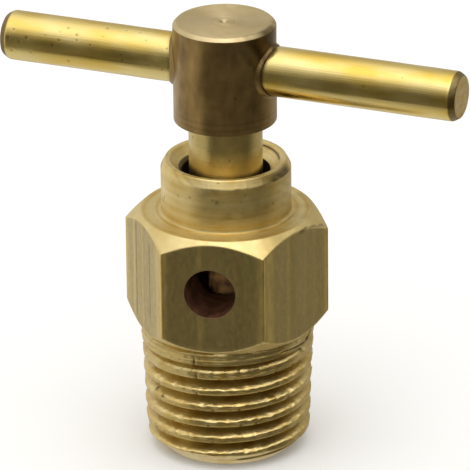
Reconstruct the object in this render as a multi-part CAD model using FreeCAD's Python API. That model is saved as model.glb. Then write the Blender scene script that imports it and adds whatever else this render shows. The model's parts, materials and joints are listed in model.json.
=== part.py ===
import FreeCAD, Part
import math
import os

os.makedirs("parts", exist_ok=True)

# Drain cock with an internal seat: a hexagon body with a male taper pipe thread, a stem whose nose shuts
# the seat, and a handle bar pressed through the stem's head.
# Millimetres. The stem's axis is +Z, z = 0 is the threaded end, and the drain port faces -Y.

# Taper pipe thread, 1/4 inch with 18 turns to the inch
thread_pitch = 25.4 / 18
thread_end_diameter = 13.2
thread_taper = 1 / 16
thread_length = 10.46
thread_flank_angle = 60.0
thread_crest_flat = 0.4
thread_runout_turns = 2.0
thread_start_angle = 122.0
thread_cutter_margin = 0.12

# Threaded end
end_face_diameter = 10.4
end_chamfer_height = 1.35

# Hexagon, 9/16 inch across its flats, with a cone at each end
hex_across_flats = 14.29
hex_length = 9.69
hex_lower_cone_angle = 43.4
hex_upper_cone_angle = 42.5
hex_top_diameter = 13.72

# Collar above the hexagon
collar_diameter = 10.43
collar_height = 4.38
collar_rim_width = 0.37
collar_rim_height = 0.66

# Bore of the stem, with its countersunk mouth
stem_bore_diameter = 7.06
stem_bore_depth = 6.3
mouth_diameter = 9.0
mouth_angle = 90.0

# Chamber round the nose, its conical seat, and the way in from the threaded end
drill_point_angle = 118.0
chamber_diameter = 5.5
seat_level = 12.9
orifice_diameter = 2.4
inlet_diameter = 6.4
inlet_length = 9.4

# Drain port through the front flat
port_diameter = 4.1
port_level = 15.68
port_offset = -0.2

# Stem: guide in the bore, neck and head
stem_clearance = 0.05
guide_drop = 2.6
guide_length = 3.4
neck_diameter = 5.9
head_diameter = 8.23
head_height = 8.23
head_lift = 3.39
head_top_chamfer = 0.35
head_bottom_chamfer = 0.06
head_dimple_diameter = 0.8
head_dimple_depth = 0.25

# Nose of the stem, shut on the seat
nose_diameter = 3.0
nose_cone_angle = 80.0
nose_tip_diameter = 1.0
seat_gap = 0.06

# Handle bar through the head
bar_diameter = 4.0
bar_length = 38.7
bar_offset = 0.6
bar_rise = 4.6
bar_turn = -12.7
bar_clearance = 0.02
bar_end_chamfer_width = 0.4
bar_end_chamfer_length = 0.5

# How far a cutting tool reaches past the metal that it cuts
tool_overrun = 2.0


def half_tangent(angle):
    """Radius gained for each millimetre along a cone of this included angle."""
    return math.tan(math.radians(angle / 2))


# Radii and levels that follow from the sizes above
hex_corner_radius = hex_across_flats / math.sqrt(3)
thread_slope = thread_taper / 2
thread_end_radius = thread_end_diameter / 2
thread_top_radius = thread_end_radius + thread_slope * thread_length
thread_depth = (thread_pitch - thread_crest_flat) / 2 / half_tangent(thread_flank_angle)
thread_root_radius = thread_end_radius - thread_depth
end_face_radius = end_face_diameter / 2
end_chamfer_radius = thread_end_radius + thread_slope * end_chamfer_height
hex_low = thread_length + (hex_corner_radius - thread_top_radius) / math.tan(math.radians(hex_lower_cone_angle))
hex_top = thread_length + hex_length
hex_high = hex_top - (hex_corner_radius - hex_top_diameter / 2) * math.tan(math.radians(hex_upper_cone_angle))
collar_radius = collar_diameter / 2
rim_level = hex_top + collar_height
stem_bore_radius = stem_bore_diameter / 2
stem_bore_floor = rim_level - stem_bore_depth
mouth_radius = mouth_diameter / 2
mouth_floor = rim_level - (mouth_radius - stem_bore_radius) / half_tangent(mouth_angle)
chamber_radius = chamber_diameter / 2
orifice_radius = orifice_diameter / 2
inlet_radius = inlet_diameter / 2
guide_radius = stem_bore_radius - stem_clearance
guide_top = rim_level - guide_drop
guide_low = guide_top - guide_length
neck_radius = neck_diameter / 2
head_radius = head_diameter / 2
head_low = rim_level + head_lift
head_top = head_low + head_height
nose_radius = nose_diameter / 2
nose_tip_radius = nose_tip_diameter / 2
bar_radius = bar_diameter / 2
bar_level = head_low + bar_rise

origin = FreeCAD.Vector(0, 0, 0)
up = FreeCAD.Vector(0, 0, 1)
front = FreeCAD.Vector(0, -1, 0)


def turned(outline):
    """A solid of revolution about Z from the (radius, height) points of its section."""
    points = [FreeCAD.Vector(radius, 0, height) for radius, height in outline]
    section = Part.Face(Part.makePolygon(points + points[:1]))
    return section.revolve(origin, up, 360)


def hexagon_bar(height):
    """Drawn hexagon bar with one flat facing -Y."""
    corners = []
    for side in range(7):
        angle = math.radians(60 * side)
        corners.append(FreeCAD.Vector(math.cos(angle), math.sin(angle), 0) * hex_corner_radius)
    return Part.Face(Part.makePolygon(corners)).extrude(up * height)


def thread_groove(level, root_radius, slope, turns, start_angle):
    """A run of the thread's groove: its V section carried up a helix whose root radius grows by slope."""
    reach = thread_depth + thread_cutter_margin
    half_mouth = reach * half_tangent(thread_flank_angle)
    section = []
    for out, along in ((0, 0), (reach, half_mouth), (reach, -half_mouth)):
        section.append(FreeCAD.Vector(root_radius + out, 0, along))
    helix = Part.makeHelix(thread_pitch, turns * thread_pitch, root_radius, math.degrees(math.atan(slope)))
    sweep = Part.BRepOffsetAPI.MakePipeShell(Part.Wire(helix.Edges))
    sweep.setBiNormalMode(up)
    sweep.add(Part.makePolygon(section + section[:1]))
    sweep.build()
    sweep.makeSolid()
    groove = sweep.shape()
    groove.rotate(origin, up, start_angle)
    groove.translate(up * level)
    return groove


def thread_cutters():
    """The full groove, from below the end face, and its run-out, which climbs out of the metal at the top."""
    full_from = -thread_pitch
    runout_from = thread_length - thread_runout_turns * thread_pitch
    full_turns = (runout_from - full_from) / thread_pitch
    runout_slope = thread_depth / (thread_runout_turns * thread_pitch)
    full = thread_groove(full_from, thread_root_radius + thread_slope * full_from, thread_slope,
                         full_turns, thread_start_angle)
    runout = thread_groove(runout_from, thread_root_radius + thread_slope * runout_from, runout_slope,
                           thread_runout_turns, thread_start_angle + 360 * full_turns)
    return full, runout


def end_chamfer_tool():
    """Cone that chamfers the threaded end, and with it the thread's first turn."""
    growth = (end_chamfer_radius - end_face_radius) / end_chamfer_height
    outer = thread_end_radius + tool_overrun
    return turned([
        (end_face_radius - growth * tool_overrun, -tool_overrun),
        (outer, -tool_overrun),
        (outer, (outer - end_face_radius) / growth),
    ])


def bore_tool():
    """Everything that is drilled along the axis: mouth, stem bore, chamber, seat, orifice and inlet."""
    point = half_tangent(drill_point_angle)
    return turned([
        (0, -tool_overrun),
        (inlet_radius, -tool_overrun),
        (inlet_radius, inlet_length),
        (orifice_radius, inlet_length + (inlet_radius - orifice_radius) / point),
        (orifice_radius, seat_level),
        (chamber_radius, seat_level + (chamber_radius - orifice_radius) / point),
        (chamber_radius, stem_bore_floor - (stem_bore_radius - chamber_radius) / point),
        (stem_bore_radius, stem_bore_floor),
        (stem_bore_radius, mouth_floor),
        (mouth_radius, rim_level),
        (mouth_radius, rim_level + tool_overrun),
        (0, rim_level + tool_overrun),
    ])


def make_valve_body():
    """Hexagon bar turned down at both ends, threaded, bored and drilled."""
    blank = turned([
        (0, 0),
        (thread_end_radius, 0),
        (thread_top_radius, thread_length),
        (hex_corner_radius, hex_low),
        (hex_corner_radius, hex_high),
        (hex_top_diameter / 2, hex_top),
        (collar_radius, hex_top),
        (collar_radius, rim_level - collar_rim_height),
        (collar_radius - collar_rim_width, rim_level),
        (0, rim_level),
    ])
    for cutter in thread_cutters():
        blank = blank.cut(cutter)
    blank = blank.common(hexagon_bar(rim_level))
    blank = blank.cut(end_chamfer_tool())
    blank = blank.cut(bore_tool())
    port_start = FreeCAD.Vector(port_offset, 0, port_level)
    blank = blank.cut(Part.makeCylinder(port_diameter / 2, hex_across_flats, port_start, front))
    return blank


def along_bar(shape):
    """Turns a shape made along Z to lie along the handle bar, centred on the stem."""
    shape.rotate(origin, FreeCAD.Vector(0, 1, 0), 90)
    shape.rotate(origin, up, bar_turn)
    shape.translate(up * bar_level)
    return shape


def make_stem():
    """Stem turned in one piece, with the handle bar's hole through its head."""
    nose_slope = half_tangent(nose_cone_angle)
    nose_shut = seat_level + seat_gap
    stem = turned([
        (0, nose_shut - (orifice_radius - nose_tip_radius) / nose_slope),
        (nose_tip_radius, nose_shut - (orifice_radius - nose_tip_radius) / nose_slope),
        (nose_radius, nose_shut + (nose_radius - orifice_radius) / nose_slope),
        (nose_radius, guide_low),
        (guide_radius, guide_low),
        (guide_radius, guide_top),
        (neck_radius, guide_top),
        (neck_radius, head_low),
        (head_radius - head_bottom_chamfer, head_low),
        (head_radius, head_low + head_bottom_chamfer),
        (head_radius, head_top - head_top_chamfer),
        (head_radius - head_top_chamfer, head_top),
        (head_dimple_diameter / 2, head_top),
        (0, head_top - head_dimple_depth),
    ])
    hole = Part.makeCylinder(bar_radius + bar_clearance, 2 * head_diameter, up * -head_diameter, up)
    return stem.cut(along_bar(hole))


def make_handle_bar():
    """Straight rod with chamfered ends, pushed a little further through the head to one side."""
    end = bar_length / 2
    rod = turned([
        (0, -end),
        (bar_radius - bar_end_chamfer_width, -end),
        (bar_radius, bar_end_chamfer_length - end),
        (bar_radius, end - bar_end_chamfer_length),
        (bar_radius - bar_end_chamfer_width, end),
        (0, end),
    ])
    rod.translate(up * bar_offset)
    return along_bar(rod)


make_valve_body().exportStep("parts/valve_body.step")
make_stem().exportStep("parts/stem.step")
make_handle_bar().exportStep("parts/handle_bar.step")
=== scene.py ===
import json
import math

import bmesh
import bpy
import numpy as np
from mathutils import Euler, Matrix, Vector


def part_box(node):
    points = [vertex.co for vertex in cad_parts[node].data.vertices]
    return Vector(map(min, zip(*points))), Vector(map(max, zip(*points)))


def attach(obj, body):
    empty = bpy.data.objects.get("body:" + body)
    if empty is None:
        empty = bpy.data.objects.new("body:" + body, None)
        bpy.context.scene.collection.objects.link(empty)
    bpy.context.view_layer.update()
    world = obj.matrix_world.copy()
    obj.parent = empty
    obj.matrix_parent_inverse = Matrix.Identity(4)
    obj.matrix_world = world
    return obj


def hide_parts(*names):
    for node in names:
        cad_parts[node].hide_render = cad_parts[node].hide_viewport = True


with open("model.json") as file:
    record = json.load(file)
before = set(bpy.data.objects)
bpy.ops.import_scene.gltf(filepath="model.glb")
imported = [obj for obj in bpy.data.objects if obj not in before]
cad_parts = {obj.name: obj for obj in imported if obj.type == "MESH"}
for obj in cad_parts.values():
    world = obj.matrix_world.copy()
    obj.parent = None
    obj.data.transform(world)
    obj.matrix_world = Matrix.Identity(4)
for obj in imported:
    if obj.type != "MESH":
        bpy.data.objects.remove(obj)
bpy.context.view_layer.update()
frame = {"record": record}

bl_info = {
    "name": "Drain Cock Dressing",
    "version": (1, 0, 0),
    "blender": (4, 5, 0),
    "location": "View3D > Sidebar > Drain Cock",
    "description": "Makes the visible brass pieces of a drain cock in place of its solids, "
                   "and a stage to show them on",
    "category": "Object",
}

# The part stands on its threaded end, its axis on +Z and the drain port facing -Y. Lengths are in metres.
MM = 0.001

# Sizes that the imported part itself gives
BODY_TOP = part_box("valve_body")[1]
STEM_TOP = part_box("stem")[1]
MOUNTS = {mount["name"]: mount for mount in frame["record"]["mounts"]}
PORT, INLET = MOUNTS["drain_port"], MOUNTS["inlet_bore"]

# Sockets of the colour mix, which are reached by number because their names repeat
MIX_FACTOR, MIX_FIRST, MIX_SECOND, MIX_RESULT = 0, 6, 7, 2

# Places of a piece's materials in its list
HEX_SKIN, TURNED, THREADED, DRILLED = range(4)
HEAD_SIDE, FACED, NECK, NOSE = range(4)
ROD_SIDE, ROD_END = range(2)

# Seeds of the random draws of each piece, and how dark dirt in the pits of turned and of drawn brass is
BODY_SEED, STEM_SEED, BAR_SEED = 18, 27, 38
TURNED_PIT_DIRT, ROD_PIT_DIRT = 0.6, 0.75

# How near points of a turned piece have to be to become one, and a radius to count as a named one
SAME_POINT = 0.001 * MM
SAME_RADIUS = 0.002 * MM


def linear(code):
    """Linear colour of an sRGB hex value such as #C9A545."""
    values = [int(code[i:i + 2], 16) / 255 for i in (1, 3, 5)]
    return [v / 12.92 if v <= 0.04045 else ((v + 0.055) / 1.055) ** 2.4 for v in values]


def length(name, description, size_mm):
    """A length that a user may change, given in millimetres."""
    return bpy.props.FloatProperty(name=name, description=description, default=size_mm * MM, min=0.0,
                                   unit="LENGTH", precision=5)


def angle(name, description, degrees):
    """An angle that a user may change, given in degrees."""
    return bpy.props.FloatProperty(name=name, description=description, default=math.radians(degrees),
                                   unit="ROTATION")


def colour(name, description, code):
    """A colour that a user may change, given as an sRGB hex value."""
    return bpy.props.FloatVectorProperty(name=name, description=description, default=linear(code), size=3,
                                         min=0.0, max=1.0, subtype="COLOR")


class BodySizes(bpy.types.PropertyGroup):
    """Sizes of the threaded hexagon body"""
    thread_pitch: length("Thread pitch", "Rise of one turn of the pipe thread", 25.4 / 18)
    thread_end_radius: length("Thread radius", "Crest radius of the taper at the threaded end", 6.6)
    thread_taper: bpy.props.FloatProperty(name="Thread taper", description="Radius gained along the thread",
                                          default=1 / 32)
    thread_length: length("Thread length", "From the end to the foot of the hexagon", 10.46)
    thread_depth: length("Thread depth", "Depth of the groove under the crests", 0.876)
    thread_start: angle("Thread start", "Where the groove passes one pitch below the end", 122)
    runout_turns: bpy.props.FloatProperty(name="Run-out", description="Turns in which the groove fades",
                                          default=2.0)
    stop_mark: angle("Stop mark", "Where one of the four die chasers stopped", -103)
    end_face_radius: length("End radius", "Outer radius of the end face", 5.2)
    end_chamfer: length("End chamfer", "Height of the cone on the threaded end", 1.35)
    hex_apothem: length("Hexagon", "Half of the width across the flats", BODY_TOP.y / MM)
    hex_corner_round: length("Corner wear", "Radius of the hexagon's worn corners", 0.2)
    hex_lower_angle: angle("Lower cone", "Cone under the hexagon, from the axis", 43.4)
    hex_upper_angle: angle("Upper cone", "Cone over the hexagon, from the top face", 42.5)
    hex_top: length("Hexagon top", "Level of the face over the hexagon", 20.15)
    hex_top_radius: length("Top radius", "Outer radius of the face over the hexagon", 6.86)
    collar_radius: length("Collar", "Radius of the round collar", 5.215)
    collar_root: length("Collar root", "Radius of the tool's nose at the foot of the collar", 0.24)
    rim_level: length("Rim level", "Level of the collar's rim", BODY_TOP.z / MM)
    rim_width: length("Rim chamfer width", "Width of the chamfer round the rim", 0.37)
    rim_height: length("Rim chamfer height", "Height of the chamfer round the rim", 0.66)
    mouth_radius: length("Mouth", "Outer radius of the countersunk mouth", 4.5)
    bore_radius: length("Stem bore", "Radius of the bore that guides the stem", 3.53)
    bore_floor: length("Bore floor", "Level where the stem bore ends", 18.23)
    chamber_radius: length("Chamber", "Radius of the chamber round the stem's nose", 2.75)
    seat_level: length("Seat level", "Level of the small end of the seat", 12.9)
    orifice_radius: length("Orifice", "Radius of the way through the seat", 1.2)
    inlet_radius: length("Inlet", "Radius of the bore in the threaded end", INLET["dims"]["r_mm"])
    inlet_length: length("Inlet length", "Depth of the bore in the threaded end", INLET["dims"]["length_mm"])
    port_radius: length("Port", "Radius of the drain port", PORT["dims"]["r_mm"])
    port_level: length("Port level", "Level of the drain port's axis", PORT["pos_m"][2] / MM)
    port_offset: bpy.props.FloatProperty(name="Port offset", description="How far the port sits off the axis",
                                         default=PORT["pos_m"][0], unit="LENGTH", precision=5)


class StemSizes(bpy.types.PropertyGroup):
    """Sizes of the stem"""
    head_radius: length("Head", "Radius of the head", STEM_TOP.y / MM)
    head_low: length("Head underside", "Level of the underside of the head", 27.92)
    head_top: length("Head top", "Level of the top of the head", STEM_TOP.z / MM)
    top_chamfer: length("Top chamfer", "Chamfer round the top of the head", 0.27)
    low_chamfer: length("Lower edge", "Edge break under the head", 0.06)
    dimple_radius: length("Dimple", "Radius of the centre mark on the head", 0.4)
    dimple_depth: length("Dimple depth", "Depth of the centre mark on the head", 0.25)
    neck_radius: length("Neck", "Radius of the neck", 2.95)
    guide_top: length("Guide top", "Upper level of the guide in the bore", 21.93)
    guide_low: length("Guide foot", "Lower level of the guide in the bore", 18.53)
    guide_radius: length("Guide", "Radius of the guide in the bore", 3.48)
    nose_radius: length("Nose", "Radius of the nose that shuts the seat", 1.5)
    nose_shoulder: length("Nose shoulder", "Level where the nose's cone begins", 13.32)
    nose_tip: length("Nose tip", "Level of the nose's flat tip", 12.126)
    nose_tip_radius: length("Tip", "Radius of the nose's flat tip", 0.5)
    burr_height: length("Burr", "Height of the burr round the bar's hole", 0.28)
    burr_width: length("Burr width", "Width of the burr round the bar's hole", 0.25)


class BarSizes(bpy.types.PropertyGroup):
    """Sizes of the handle bar"""
    radius: length("Bar", "Radius of the rod", 2.0)
    hole_clearance: length("Clearance", "Room between the rod and its hole", 0.02)
    span: length("Span", "Length of the rod", 38.7)
    offset: length("Offset", "How far the rod is pushed through the head", 0.6)
    level: length("Level", "Level of the rod's axis", 32.52)
    turn: angle("Turn", "Direction of the rod about the stem", -12.7)
    end_width: length("End chamfer width", "Width of the chamfer at the rod's ends", 0.3)
    end_length: length("End chamfer length", "Length of the chamfer at the rod's ends", 0.5)


class FinishColours(bpy.types.PropertyGroup):
    """Colours of the brass finishes"""
    rod: colour("Drawn rod", "Bright drawn rod of the handle", "#D8C587")
    rod_warm: colour("Drawn rod, warm", "Warmer patches of the drawn rod", "#CFB052")
    turned: colour("Turned brass", "Freshly turned body", "#DDCA94")
    turned_warm: colour("Turned brass, warm", "Warmer rings of the turned body", "#C5A552")
    thread: colour("Cut thread", "Crests of the cut thread", "#D6C38B")
    thread_warm: colour("Cut thread, warm", "Flanks of the cut thread", "#C4A764")
    skin: colour("Drawn skin", "Dull skin of the drawn hexagon", "#BCA97A")
    skin_dark: colour("Drawn skin, dark", "Darker streaks of the drawn hexagon", "#A99664")
    skin_green: colour("Drawn skin, green", "Greener patches of the drawn hexagon", "#AAA06C")
    worn: colour("Worn corners", "Gold where the hexagon's corners are worn", "#DEC47E")
    head: colour("Head", "Darkened side of the stem's head", "#A88D5C")
    head_dark: colour("Head, dark", "Darker bands of the stem's head", "#735D3E")
    neck: colour("Neck", "Bright turned neck of the stem", "#F0D892")
    faced: colour("Faced end", "Faced top of the stem's head", "#CEBA90")
    nose: colour("Nose", "Stained nose inside the port", "#FDC279")
    bore: colour("Drilled bore", "Brown inside of the bores", "#7A5038")
    bore_dark: colour("Drilled bore, dark", "Darker patches inside the bores", "#4A2E1E")
    # Grime also paints shade: it is laid where the mesh's stain value holds painted shade in grooves, bores
    # and joints
    grime_and_shade: colour("Grime", "Dirt in pits, grooves and corners", "#2A1D0E")


class StageLook(bpy.types.PropertyGroup):
    """Camera, floor and light"""
    azimuth: angle("Azimuth", "Direction of the camera about the part", 9.6146)
    elevation: angle("Elevation", "Height of the camera over the horizon", 23.2254)
    roll: angle("Roll", "Turn of the camera about its line of sight", 0.5958)
    distance: length("Distance", "From the camera to the point that it looks at", 455.066)
    aim_right: length("Aim to the right", "How far the camera looks past the axis", 0.6709)
    aim_level: length("Aim level", "Level that the camera looks at", 17.7866)
    focal_pixels: bpy.props.FloatProperty(name="Focal length", default=5682.02,
                                          description="Focal length in pixels of the square image")
    image_pixels: bpy.props.IntProperty(name="Image", description="Width of the square image", default=470,
                                        subtype="PIXEL")
    floor: colour("Floor", "Pale paper that the part stands on", "#F7F6F3")
    dim_wall: colour("Dim walls", "Tint of the dim walls that the metal mirrors", "#FFF4CE")


def opaque(rgb):
    """A colour with its alpha."""
    return (*rgb, 1.0)


def add_node(tree, kind, settings=None, links=None, output=0):
    """Adds a node and returns an output of it. Settings are its attributes or inputs; links feed inputs."""
    node = tree.nodes.new(kind)
    for name, value in (settings or {}).items():
        if isinstance(name, int) or name in node.inputs:
            node.inputs[name].default_value = value
        else:
            setattr(node, name, value)
    for name, source in (links or {}).items():
        tree.links.new(source, node.inputs[name])
    return node.outputs[output] if node.outputs else None


def open_material(name):
    """An empty material, with the object's own coordinates as the source of its patterns."""
    material = bpy.data.materials.new(name)
    material.use_nodes = True
    tree = material.node_tree
    tree.nodes.clear()
    return material, tree, add_node(tree, "ShaderNodeTexCoord", output="Object")


def close_metal(material, base, roughness, relief, depth_mm, ring_gloss=0.0, metallic=1.0):
    """Ends a metal from its colour, roughness and relief of this depth.

    Lathe work has a ring gloss: it stretches the gloss across lines that ring the object's axis.
    """
    tree = material.node_tree
    normal = add_node(tree, "ShaderNodeBump", {"Distance": depth_mm * MM}, {"Height": relief})
    settings = {"Metallic": metallic}
    links = {"Base Color": base, "Roughness": roughness, "Normal": normal}
    if ring_gloss:
        quarter_turn = 0.25
        settings.update({"Anisotropic": ring_gloss, "Anisotropic Rotation": quarter_turn})
        links["Tangent"] = add_node(tree, "ShaderNodeTangent", {"direction_type": "RADIAL", "axis": "Z"})
    shader = add_node(tree, "ShaderNodeBsdfPrincipled", settings, links)
    add_node(tree, "ShaderNodeOutputMaterial", links={"Surface": shader})
    return material


def coated(tree, bottom, *coats):
    """A finish in layers: a bottom colour, and over it coats of (where it shows, colour)."""
    finish = None
    for shows, coat in coats:
        settings, links = {"data_type": "RGBA", MIX_SECOND: opaque(coat)}, {MIX_FACTOR: shows}
        if finish is None:
            settings[MIX_FIRST] = opaque(bottom)
        else:
            links[MIX_FIRST] = finish
        finish = add_node(tree, "ShaderNodeMix", settings, links, MIX_RESULT)
    return finish


def soft_patches(tree, place, size_mm, cut=(0.3, 0.7), stretch=(1, 1, 1), span=(0, 1)):
    """Soft patches of about this size: noise that runs over a span between two levels where it is cut."""
    spread = add_node(tree, "ShaderNodeVectorMath", {"operation": "MULTIPLY", 1: stretch}, {0: place})
    noise = add_node(tree, "ShaderNodeTexNoise", {"Scale": 1 / (size_mm * MM), "Detail": 3.0},
                     {"Vector": spread})
    return add_node(tree, "ShaderNodeMapRange",
                    {"From Min": cut[0], "From Max": cut[1], "To Min": span[0], "To Max": span[1]},
                    {"Value": noise})


def turning_rings(tree, place, spacing_mm):
    """Rings left by the tool, from 0 to 1, that follow height plus radius to ring sides and faces alike."""
    height = add_node(tree, "ShaderNodeSeparateXYZ", links={"Vector": place}, output="Z")
    flat = add_node(tree, "ShaderNodeVectorMath", {"operation": "MULTIPLY", 1: (1, 1, 0)}, {0: place})
    radius = add_node(tree, "ShaderNodeVectorMath", {"operation": "LENGTH"}, {0: flat}, "Value")
    along = add_node(tree, "ShaderNodeMath", {"operation": "ADD"}, {0: height, 1: radius})
    noise = add_node(tree, "ShaderNodeTexNoise",
                     {"noise_dimensions": "1D", "Scale": 1 / (spacing_mm * MM), "Detail": 2.0}, {"W": along})
    return add_node(tree, "ShaderNodeMapRange", {"From Min": 0.25, "From Max": 0.75}, {"Value": noise})


def dirt(tree, place, spacing_mm, size, share):
    """Specks of a size within cells this far apart, in a share of them, and the dirt and painted shade that
    the mesh holds.
    """
    core, darkest = 0.4, 0.6
    cells = add_node(tree, "ShaderNodeTexVoronoi", {"Scale": 1 / (spacing_mm * MM)}, {"Vector": place})
    near = add_node(tree, "ShaderNodeMapRange",
                    {"From Min": size, "From Max": size * core, "To Max": darkest}, {"Value": cells})
    cell_colour = cells.node.outputs["Color"]
    chance = add_node(tree, "ShaderNodeSeparateColor", links={"Color": cell_colour}, output="Red")
    chosen = add_node(tree, "ShaderNodeMath", {"operation": "LESS_THAN", 1: share}, {0: chance})
    speck = add_node(tree, "ShaderNodeMath", {"operation": "MULTIPLY"}, {0: near, 1: chosen})
    # The mesh's stain value holds dirt, and painted shade on some pieces
    held = add_node(tree, "ShaderNodeAttribute", {"attribute_name": "stain"}, output="Fac")
    return add_node(tree, "ShaderNodeMath", {"operation": "MAXIMUM"}, {0: speck, 1: held})


def drawn_rod_brass(finish):
    """Free-cutting brass rod, drawn bright: smooth and golden, with warm patches, lines and small pits."""
    material, tree, place = open_material("Bright drawn brass rod")
    along_rod = (1, 1, 0.35)
    warmth = soft_patches(tree, place, 2.2, cut=(0.4, 0.64), stretch=along_rod)
    base = coated(tree, finish.rod, (warmth, finish.rod_warm),
                  (dirt(tree, place, 1.1, size=0.09, share=0.35), finish.grime_and_shade))
    roughness = soft_patches(tree, place, 1.3, cut=(0.35, 0.7), stretch=along_rod, span=(0.12, 0.32))
    # The draw lines are a few hundredths of a millimetre apart; they are drawn coarser to show.
    lines = soft_patches(tree, place, 0.16, cut=(0.2, 0.8), stretch=(1, 1, 0.02))
    return close_metal(material, base, roughness, lines, 0.006)


def cut_rod_brass(finish):
    """The rod's cut end: the same brass, dulled by the coarse grain of the cut."""
    material, tree, place = open_material("Cut brass rod end")
    grain = soft_patches(tree, place, 0.3, stretch=(1, 0.25, 1))
    base = coated(tree, finish.faced, (grain, finish.turned_warm),
                  (dirt(tree, place, 0.8, size=0.1, share=0.4), finish.grime_and_shade))
    roughness = soft_patches(tree, place, 0.6, span=(0.3, 0.48))
    return close_metal(material, base, roughness, grain, 0.012)


def turned_hexagon_brass(finish):
    """Turned free-cutting brass, unpolished: pale gold whose fine rings spread the light up and down."""
    material, tree, place = open_material("Turned brass")
    # The feed is under a tenth of a millimetre; the rings are drawn two or three times as far apart to show.
    rings = turning_rings(tree, place, 0.22)
    warmth = add_node(tree, "ShaderNodeMath", {"operation": "MULTIPLY"},
                      {0: turning_rings(tree, place, 0.5), 1: soft_patches(tree, place, 2.4)})
    base = coated(tree, finish.turned, (warmth, finish.turned_warm),
                  (dirt(tree, place, 1.3, size=0.09, share=0.3), finish.grime_and_shade))
    roughness = soft_patches(tree, place, 0.7, span=(0.34, 0.48))
    return close_metal(material, base, roughness, rings, 0.01, ring_gloss=0.4)


def cut_thread_brass(finish):
    """Die-cut thread: bright torn crests, warm flanks, painted shade in the grooves, and dirt in the nicks.
    """
    material, tree, place = open_material("Die-cut brass thread")
    base = coated(tree, finish.thread, (soft_patches(tree, place, 1.4), finish.thread_warm),
                  (dirt(tree, place, 0.8, size=0.1, share=0.4), finish.grime_and_shade))
    roughness = soft_patches(tree, place, 0.5, stretch=(1, 1, 3), span=(0.26, 0.44))
    torn = soft_patches(tree, place, 0.9, stretch=(1, 1, 7))
    return close_metal(material, base, roughness, torn, 0.01)


def drawn_hexagon_brass(finish):
    """Skin of drawn hexagon bar: dull olive brass with streaks along the bar, gold where it is worn, and
    painted sheen in light streaks along the flats.
    """
    material, tree, place = open_material("Drawn brass hexagon skin")
    streaks = soft_patches(tree, place, 1.1, stretch=(1, 1, 0.06))
    green = soft_patches(tree, place, 1.1, cut=(0.48, 0.8), stretch=(1, 1, 0.2))
    # The wear value holds the worn corners and painted sheen: light gold streaks along the flats
    worn = add_node(tree, "ShaderNodeAttribute", {"attribute_name": "wear"}, output="Fac")
    broken = soft_patches(tree, place, 0.8, cut=(0.2, 0.5), stretch=(1, 1, 0.4))
    patchy = add_node(tree, "ShaderNodeMath", {"operation": "MULTIPLY"}, {0: worn, 1: broken})
    grain = soft_patches(tree, place, 0.25, cut=(0.45, 0.75), stretch=(1, 1, 0.6), span=(0, 0.3))
    base = coated(tree, finish.skin_dark, (streaks, finish.skin), (green, finish.skin_green),
                  (grain, finish.worn), (patchy, finish.worn),
                  (dirt(tree, place, 1.6, size=0.07, share=0.25), finish.grime_and_shade))
    roughness = soft_patches(tree, place, 0.3, stretch=(1, 1, 0.4), span=(0.36, 0.48))
    # The draw lines are finer than a pixel, so a coarser set of them is drawn.
    lines = soft_patches(tree, place, 0.15, cut=(0.2, 0.8), stretch=(1, 1, 0.03))
    return close_metal(material, base, roughness, lines, 0.005)


def drilled_brass(finish):
    """Inside of the drilled bores: brown and dull, with the drill's rings, half covered by stain."""
    material, tree, place = open_material("Drilled brass bore")
    base = coated(tree, finish.bore, (soft_patches(tree, place, 0.8), finish.bore_dark),
                  (dirt(tree, place, 1.2, size=0.08, share=0.2), finish.grime_and_shade))
    roughness = soft_patches(tree, place, 0.5, span=(0.42, 0.6))
    return close_metal(material, base, roughness, turning_rings(tree, place, 0.3), 0.008, metallic=0.45)


def darkened_head_brass(finish):
    """Side of the head: fine-turned brass, darkened brown, with soft upright bands of reflected light."""
    material, tree, place = open_material("Darkened turned brass")
    bands = soft_patches(tree, place, 1.8, stretch=(1, 1, 0.5))
    base = coated(tree, finish.head, (bands, finish.head_dark),
                  (dirt(tree, place, 1.5, size=0.06, share=0.25), finish.grime_and_shade))
    roughness = soft_patches(tree, place, 0.9, span=(0.3, 0.4))
    return close_metal(material, base, roughness, turning_rings(tree, place, 0.2), 0.006, ring_gloss=0.5)


def faced_head_brass(finish):
    """Faced top of the head: pale turned brass whose rings fan the light out from the centre."""
    material, tree, place = open_material("Faced brass")
    base = coated(tree, finish.faced, (soft_patches(tree, place, 3.0), finish.skin),
                  (dirt(tree, place, 1.3, size=0.08, share=0.12), finish.grime_and_shade))
    roughness = soft_patches(tree, place, 0.9, span=(0.33, 0.42))
    return close_metal(material, base, roughness, turning_rings(tree, place, 0.18), 0.005, ring_gloss=0.75)


def turned_neck_brass(finish):
    """Neck of the stem: bright turned brass that has kept its gold."""
    material, tree, place = open_material("Turned brass neck")
    base = coated(tree, finish.neck, (soft_patches(tree, place, 1.5), finish.rod),
                  (dirt(tree, place, 1.2, size=0.09, share=0.3), finish.grime_and_shade))
    roughness = soft_patches(tree, place, 0.8, span=(0.28, 0.4))
    return close_metal(material, base, roughness, turning_rings(tree, place, 0.24), 0.008, ring_gloss=0.5)


def stained_nose_brass(finish):
    """Nose of the stem, seen in the port: dull brass under an orange-brown stain."""
    material, tree, place = open_material("Stained brass nose")
    base = coated(tree, finish.nose, (soft_patches(tree, place, 1.0), finish.bore),
                  (dirt(tree, place, 0.9, size=0.1, share=0.3), finish.grime_and_shade))
    roughness = soft_patches(tree, place, 0.6, span=(0.4, 0.55))
    return close_metal(material, base, roughness, turning_rings(tree, place, 0.25), 0.008, metallic=0.15)


def clamped(values):
    """Values held between 0 and 1."""
    return np.clip(values, 0, 1)


def eased(share):
    """A share from 0 to 1 that starts and ends gently."""
    return share * share * (3 - 2 * share)


def hump(place, middle, half_width):
    """A smooth hump, 1 at its middle and near 0 at twice its half width."""
    return np.exp(-((place - middle) / half_width) ** 2)


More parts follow.
